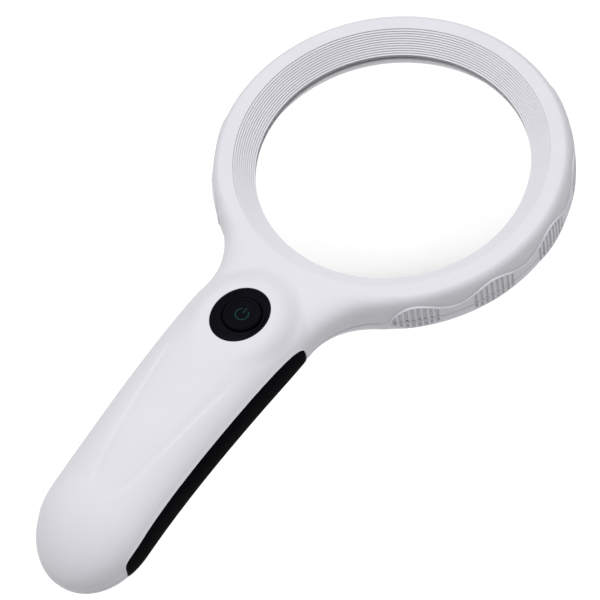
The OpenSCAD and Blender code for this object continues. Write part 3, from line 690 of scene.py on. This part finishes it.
def make_door():
    door = shell_solid("battery_door_panel", -1)
    boolean(door, [handle_cavity(SIDE_WALL - 0.7, 1.7)])
    boolean(door, [door_prism(0, -5.25, "door_block")], "INTERSECT")
    slots = []
    pitch, middle = 1.7, DOOR_L / 2 - 7
    for i in range(-3, 4):
        loop = [(x, y + middle + pitch * i) for x, y in rounded_rect_loop(12 - 1.1 * abs(i), 0.75, 0.36, 5)]
        floor_of_slot = -BACK_FLAT * HANDLE_T / 2 - 0.15
        slots.append(extrude("slot", loop, -HANDLE_T / 2 - 3, floor_of_slot, handle_matrix(BAY_S)))
    boolean(door, slots)
    shade(door)
    return door


def make_grip(side):
    """Ribbed rubber insert: closed shell whose outer face carries fine slanted ribs."""
    pitch, depth, slant = 0.78, 0.2, 0.55
    columns, across = 660, 26
    s = GRIP_START + (GRIP_END - GRIP_START) * np.arange(columns) / (columns - 1)
    half = np.array([grip_outline(v) for v in s])
    v = np.linspace(1, -1, across + 1)
    z = half[:, None] * v[None, :]
    flank = flank_x(s[:, None], z)
    from_end = np.minimum(s - GRIP_START, GRIP_END - s)
    edge = np.minimum(half[:, None] * (1 - np.abs(v[None, :])), from_end[:, None] + 0.05)
    rounded = 0.35 * (1 - smooth(edge / 0.7))
    rib = 0.5 + 0.5 * np.cos(2 * math.pi * (s[:, None] - slant * (half.max() - z)) / pitch)
    ribbed = depth * smooth(rib * 1.3) * smooth((edge - 0.5) / 0.4)
    outer_x = flank + 0.12 - rounded - ribbed
    y = -np.repeat(s[:, None], across + 1, 1)
    zz = mid_z(s)[:, None] + z
    outer = np.dstack([side * outer_x, y, zz])
    inner = np.dstack([side * (flank - rubber_t(z) + 0.1), y, zz])
    sections = np.concatenate([outer, inner[:, ::-1]], axis=1)
    return outward(loft("grip_%s_ribbed" % ("right" if side > 0 else "left"), list(sections), 50))


# ---- Lens, gasket, diffuser ----
def make_lens():
    """Biconvex lens whose edge ends just under the gasket."""
    top = lens_hi[2]
    half_edge = gasket_lo[2] - 0.05 - LENS_Z
    sag = top - LENS_Z - half_edge
    curvature = (LENS_R ** 2 + sag ** 2) / (2 * sag)
    r = LENS_R * np.sin(np.linspace(0, math.pi / 2, 60))
    drop = curvature - np.sqrt(curvature ** 2 - r ** 2)
    front = [(a, top - b) for a, b in zip(r, drop)]
    back = [(a, 2 * LENS_Z - z) for a, z in front[::-1]]
    return outward(revolve("lens_glass_body", front + back, 256, 40))


def make_gasket():
    lo, hi = gasket_lo[2], gasket_hi[2]
    inner, outer = OPENING_R + 0.35, LENS_R
    profile = [(inner, lo + 0.35), (outer, lo), (outer, hi), (inner + 0.2, hi), (inner, hi - 0.2)]
    return outward(revolve("gasket_ring", profile, 256, 40))


def make_diffuser():
    lo, hi = diffuser_lo[2], diffuser_hi[2]
    a, b = RECESS_IN_R + 0.05, DIFFUSER_R
    return outward(revolve("diffuser_ring", [
        (a, hi), (a, lo + 0.35), (a + 0.1, lo + 0.12), (a + 0.35, lo), (b - 0.35, lo), (b - 0.1, lo + 0.12),
        (b, lo + 0.35), (b, hi)], 256, 40))


# ---- Button ----
def oval_turn(name, profile, sharp=28):
    """Closed profile of (r, z, share) points swept round the loops that oval_loop() gives."""
    rings = [oval_loop(r, share) for r, z, share in profile]
    count, steps = len(rings), len(rings[0])
    verts = np.concatenate([np.column_stack([ring, np.full(steps, p[1])]) for ring, p in zip(rings, profile)])
    faces = grid_faces(count, steps, wrap=True)
    faces += [((count - 1) * steps + k, (count - 1) * steps + (k + 1) % steps, (k + 1) % steps, k)
              for k in range(steps)]
    return outward(to_object(name, verts, faces, sharp))


def make_bezel():
    """Shallow dish that goes over from the bezel's oval to the button's round bore."""
    top, bottom = bezel_hi[2], bezel_lo[2]
    bore, edge_r = 6.5, BEZEL_R - 0.55
    profile = [(BEZEL_R - 0.02, bottom, 1), (BEZEL_R - 0.02, top - 0.35, 1), (BEZEL_R - 0.1, top - 0.12, 1),
               (BEZEL_R - 0.3, top - 0.02, 1), (edge_r, top - 0.06, 1)]
    steps = 14
    for i in range(1, steps + 1):
        t = i / steps
        r = edge_r + (bore + 0.25 - edge_r) * t
        z = top - 0.08 - 0.92 * math.sin(t * math.pi / 2) ** 1.3
        profile.append((r, z, 1 - smooth(t)))
    profile += [(bore + 0.06, top - 1.12, 0), (bore, top - 1.35, 0), (bore, bottom, 0)]
    return oval_turn("bezel_dish", profile)


def make_button():
    """Round button with a dished face inside a raised rim, a flange below, and a stem down to the switch."""
    rim, bottom = button_hi[2], button_lo[2]
    r, flange_r, flange_lo, flange_hi, stem_r = 6.2, 7.4, 8.0, 8.9, 1.7
    dish, flat_r = symbol_lo[2], 3.3
    profile = [(0, dish), (2.8, dish), (flat_r, dish + 0.02)]
    for t in np.linspace(0.15, 1, 10):
        profile.append((flat_r + 1.75 * t, dish + 0.02 + (rim - 0.06 - dish) * t ** 2.2))
    profile += [(5.2, rim - 0.01), (5.38, rim), (5.56, rim - 0.02), (5.75, rim - 0.12), (5.95, rim - 0.3),
                (6.1, rim - 0.5), (6.18, rim - 0.8), (r, rim - 1.1), (r, flange_hi), (flange_r, flange_hi),
                (flange_r, flange_lo), (stem_r, flange_lo), (stem_r, bottom), (0, bottom)]
    obj = revolve("button_cap", profile, 160, 40)
    obj.data.transform(Matrix.Translation((0, -BUTTON_S * MM, 0)))
    return outward(obj)


def arc_stroke(radius, width, start, end, steps=48):
    """Loop of an arc-shaped stroke with round ends, in the plane; angles from +Y."""
    outer, inner = [], []
    for k in range(steps + 1):
        a = math.radians(start + (end - start) * k / steps)
        d = np.array([math.sin(a), math.cos(a)])
        outer.append(d * (radius + width / 2))
        inner.append(d * (radius - width / 2))

    def end_cap(angle, sign):
        a = math.radians(angle)
        d, t = np.array([math.sin(a), math.cos(a)]), np.array([math.cos(a), -math.sin(a)])
        return [d * radius + width / 2 * (d * math.cos(b) + sign * t * math.sin(b))
                for b in np.linspace(0, math.pi, 9)[1:-1]]

    return outer + end_cap(end, 1) + inner[::-1] + end_cap(start, -1)[::-1]


def make_symbol():
    """Generic power sign: an open ring and a bar, printed on the button's face."""
    low, high = symbol_lo[2] - 0.05, symbol_hi[2] - 0.06
    stroke, size, bar_shift = 0.42, 2.1, 1.5
    ring = extrude("symbol_arc", arc_stroke(size, stroke, 38, 322), low, high,
                   Matrix.Translation((0, -BUTTON_S, 0)))
    bar = extrude("symbol_bar", rounded_rect_loop(stroke, size, 0.2, 5), low, high,
                  Matrix.Translation((0, -BUTTON_S + bar_shift, 0)))
    return joined("power_symbol_print", [outward(ring), outward(bar)])


def joined(name, objects):
    """One object from the meshes of several, which are removed."""
    verts, faces, start = [], [], 0
    for o in objects:
        verts.append(np.array([v.co for v in o.data.vertices]) / MM)
        faces.extend([tuple(start + i for i in p.vertices) for p in o.data.polygons])
        start += len(o.data.vertices)
        bpy.data.objects.remove(o)
    return to_object(name, np.concatenate(verts), faces)


# ---- Materials ----
def material(name, colour, roughness, variation=0.03, grain=0.35, bump=0.02, blotch=18.0, **sockets):
    """Surface with a cloudy colour, uneven gloss and a fine grain; grain, bump and blotch are in mm."""
    mat = bpy.data.materials.new(name)
    mat.use_nodes = True
    nodes, links = mat.node_tree.nodes, mat.node_tree.links
    shader = nodes["Principled BSDF"]
    coords = nodes.new("ShaderNodeTexCoord")

    def noise(size_mm, detail):
        tex = nodes.new("ShaderNodeTexNoise")
        tex.inputs["Scale"].default_value = 1 / (size_mm * MM)
        tex.inputs["Detail"].default_value = detail
        links.new(coords.outputs["Object"], tex.inputs["Vector"])
        return tex

    cloud = noise(blotch, 3)
    ramp = nodes.new("ShaderNodeValToRGB")
    dark, light = ramp.color_ramp.elements
    dark.position, light.position = 0.3, 0.7
    dark.color = [c * (1 - variation) for c in colour] + [1]
    light.color = [min(1, c * (1 + variation)) for c in colour] + [1]
    links.new(cloud.outputs["Fac"], ramp.inputs["Fac"])
    links.new(ramp.outputs["Color"], shader.inputs["Base Color"])
    fine = noise(grain, 2)
    gloss = nodes.new("ShaderNodeMapRange")
    gloss.inputs["To Min"].default_value = max(0.02, roughness - 0.05)
    gloss.inputs["To Max"].default_value = roughness + 0.05
    links.new(fine.outputs["Fac"], gloss.inputs["Value"])
    links.new(gloss.outputs["Result"], shader.inputs["Roughness"])
    height = nodes.new("ShaderNodeBump")
    height.inputs["Strength"].default_value = 1.0
    height.inputs["Distance"].default_value = bump * MM
    links.new(fine.outputs["Fac"], height.inputs["Height"])
    links.new(height.outputs["Normal"], shader.inputs["Normal"])
    for socket, value in sockets.items():
        shader.inputs[socket.replace("_", " ")].default_value = value
    return mat


WHITE = material("white_moulded_plastic", (0.582, 0.58, 0.618), 0.45, 0.012, 0.3, 0.006)
GLOSS_BLACK = material("gloss_black_plastic", (0.003, 0.003, 0.005), 0.16, 0.2, 0.5, 0.002,
                       Specular_IOR_Level=0.12)
RUBBER = material("grip_rubber", (0.0025, 0.0025, 0.0035), 0.45, 0.25, 0.12, 0.006, Specular_IOR_Level=0.02)
GASKET = material("gasket_rubber", (0.005, 0.005, 0.006), 0.6, 0.2, 0.12, 0.02)
SYMBOL = material("symbol_print", (0.004, 0.03, 0.026), 0.45, 0.1, 0.1, 0.004)
BOARD = material("board_lacquer", (0.015, 0.12, 0.04), 0.3, 0.25, 0.8, 0.02, 2.5)
COMPONENT = material("component_plastic", (0.02, 0.02, 0.022), 0.5, 0.2, 0.15, 0.02)
TRAY = material("tray_plastic", (0.03, 0.03, 0.033), 0.45, 0.15, 0.25, 0.02)
NYLON = material("nylon", (0.75, 0.73, 0.66), 0.4, 0.05, 0.2, 0.01)
LAMP = material("lamp_resin", (0.85, 0.72, 0.2), 0.25, 0.08, 0.3, 0.01)
CELL = material("cell_wrap", (0.02, 0.035, 0.07), 0.28, 0.1, 0.3, 0.006)
STEEL = material("plated_steel", (0.62, 0.61, 0.59), 0.28, 0.06, 0.12, 0.01, 3.0, Metallic=1.0)
RED_WIRE = material("wire_red", (0.45, 0.015, 0.01), 0.45, 0.1, 0.2, 0.01)
BLACK_WIRE = material("wire_black", (0.015, 0.015, 0.015), 0.45, 0.1, 0.2, 0.01)
GLASS = material("lens_glass", (1.0, 1.0, 1.0), 0.07, 0.002, 3.0, 0.0002, Transmission_Weight=1.0, IOR=1.49)
DIFFUSER = material("frosted_diffuser", (0.93, 0.94, 0.95), 0.35, 0.01, 0.5, 0.01,
                    Transmission_Weight=0.75, IOR=1.45)


def place(obj, body, mat, node):
    """Gives a finished piece its material and its body, and hides the CAD node that it stands for."""
    obj.data.materials.clear()
    obj.data.materials.append(mat)
    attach(obj, body)
    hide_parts(node)
    return obj


place(make_front_shell(), "housing", WHITE, "front_shell")
place(make_back_shell(), "housing", WHITE, "back_shell")
place(make_door(), "door", WHITE, "battery_door")
place(make_grip(1), "housing", RUBBER, "grip_right")
place(make_grip(-1), "housing", RUBBER, "grip_left")
lens_glass = place(make_lens(), "housing", GLASS, "lens")
lens_glass.visible_shadow = False       # glass lets the light through to the paper
place(make_gasket(), "housing", GASKET, "lens_gasket")
place(make_diffuser(), "housing", DIFFUSER, "led_diffuser")
place(make_bezel(), "housing", GLOSS_BLACK, "button_bezel")
place(make_button(), "button", GLOSS_BLACK, "power_button")
place(make_symbol(), "button", SYMBOL, "power_symbol")

CAD_FINISH = {
    "led_board": BOARD, "leds": LAMP, "switch_body": COMPONENT, "switch_plunger": NYLON, "main_board": BOARD,
    "driver_chip": COMPONENT, "chip_resistors": COMPONENT, "battery_tray": TRAY, "battery_left": CELL,
    "battery_middle": CELL, "battery_right": CELL, "contact_plates": STEEL, "contact_springs": STEEL,
    "wire_led_positive": RED_WIRE, "wire_led_negative": BLACK_WIRE, "wire_battery_positive": RED_WIRE,
    "wire_battery_negative": BLACK_WIRE, "shell_screws": STEEL, "board_screws": STEEL}
for node, mat in CAD_FINISH.items():
    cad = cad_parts[node]
    if not cad.material_slots:
        cad.data.materials.append(mat)
    for material_slot in cad.material_slots:
        material_slot.material = mat

# ---- Camera ----
AZIMUTH, ELEVATION, ROLL = 44.7, 53.3, 8.95     # degrees
DISTANCE = 1300.0                                # from the ring's centre, mm
RING_OFFSET = (29.736, 41.433)                   # of the ring's centre right of and above the view's, mm
VIEW_WIDTH = 191.083                             # width of the view at the ring, mm
SENSOR = 36.0


def camera_axes():
    """The view's right and up, and the direction from the ring back to the camera."""
    a, e, r = (math.radians(v) for v in (AZIMUTH, ELEVATION, ROLL))
    back = Vector((math.sin(a) * math.cos(e), -math.cos(a) * math.cos(e), math.sin(e)))
    right = Vector((math.cos(a), math.sin(a), 0))
    up = back.cross(right)
    return right * math.cos(r) - up * math.sin(r), up * math.cos(r) + right * math.sin(r), back


right, up, back = camera_axes()
aim = (-back - right * (RING_OFFSET[0] / DISTANCE) - up * (RING_OFFSET[1] / DISTANCE)).normalized()
camera = bpy.data.objects.new("camera", bpy.data.cameras.new("camera"))
bpy.context.scene.collection.objects.link(camera)
camera_right = aim.cross(up).normalized()
camera_up = camera_right.cross(aim)
camera.matrix_world = Matrix((
    (camera_right.x, camera_up.x, -aim.x, back.x * DISTANCE * MM),
    (camera_right.y, camera_up.y, -aim.y, back.y * DISTANCE * MM),
    (camera_right.z, camera_up.z, -aim.z, back.z * DISTANCE * MM),
    (0, 0, 0, 1)))
camera.data.sensor_width = SENSOR
camera.data.lens = SENSOR * DISTANCE / VIEW_WIDTH
camera.data.clip_start, camera.data.clip_end = 0.05, 20
bpy.context.scene.camera = camera

# ---- Floor and light ----
FLOOR_DROP = 350.0      # the floor lies this far below the part, so its shadow falls outside the view
FLOOR_HALF = 4000.0
floor_z = cad_box[0].z / MM - FLOOR_DROP
floor = to_object("floor", [(x * FLOOR_HALF, y * FLOOR_HALF, floor_z)
                            for x, y in ((-1, -1), (1, -1), (1, 1), (-1, 1))], [(0, 1, 2, 3)])
floor.data.materials.append(material("floor_paper", (0.97, 0.97, 0.97), 0.9, 0.002, 0.5, 0.0, 200.0))
MIDDLE = Vector((0, -0.05, 0))      # point that the lights face, metres


def soft_light(name, azimuth, elevation, distance, size, irradiance):
    """Round soft light, unseen in gloss and glass; distance and size in metres.

    It gives a level surface at the part this irradiance, in units of a white world's.
    """
    a, e = math.radians(azimuth), math.radians(elevation)
    away = Vector((math.sin(a) * math.cos(e), -math.cos(a) * math.cos(e), math.sin(e)))
    data = bpy.data.lights.new(name, "AREA")
    data.shape, data.size = "DISK", size
    data.energy = irradiance * math.pi ** 2 * distance ** 2 / math.sin(e)
    light = bpy.data.objects.new(name, data)
    light.location = away * distance + MIDDLE
    light.rotation_mode = "QUATERNION"
    light.rotation_quaternion = (-away).to_track_quat("-Z", "Y")
    light.visible_glossy = False
    light.visible_transmission = False
    bpy.context.scene.collection.objects.link(light)


soft_light("key", 293, 78, 3.0, 3.0, 1.26)
soft_light("fill", 120, 50, 3.0, 2.5, 0.22)
world = bpy.data.worlds.new("studio")
world.use_nodes = True
world.node_tree.nodes["Background"].inputs["Color"].default_value = (1, 1, 1, 1)
world.node_tree.nodes["Background"].inputs["Strength"].default_value = 0.18
bpy.context.scene.world = world
bpy.context.scene.view_settings.view_transform = "Standard"
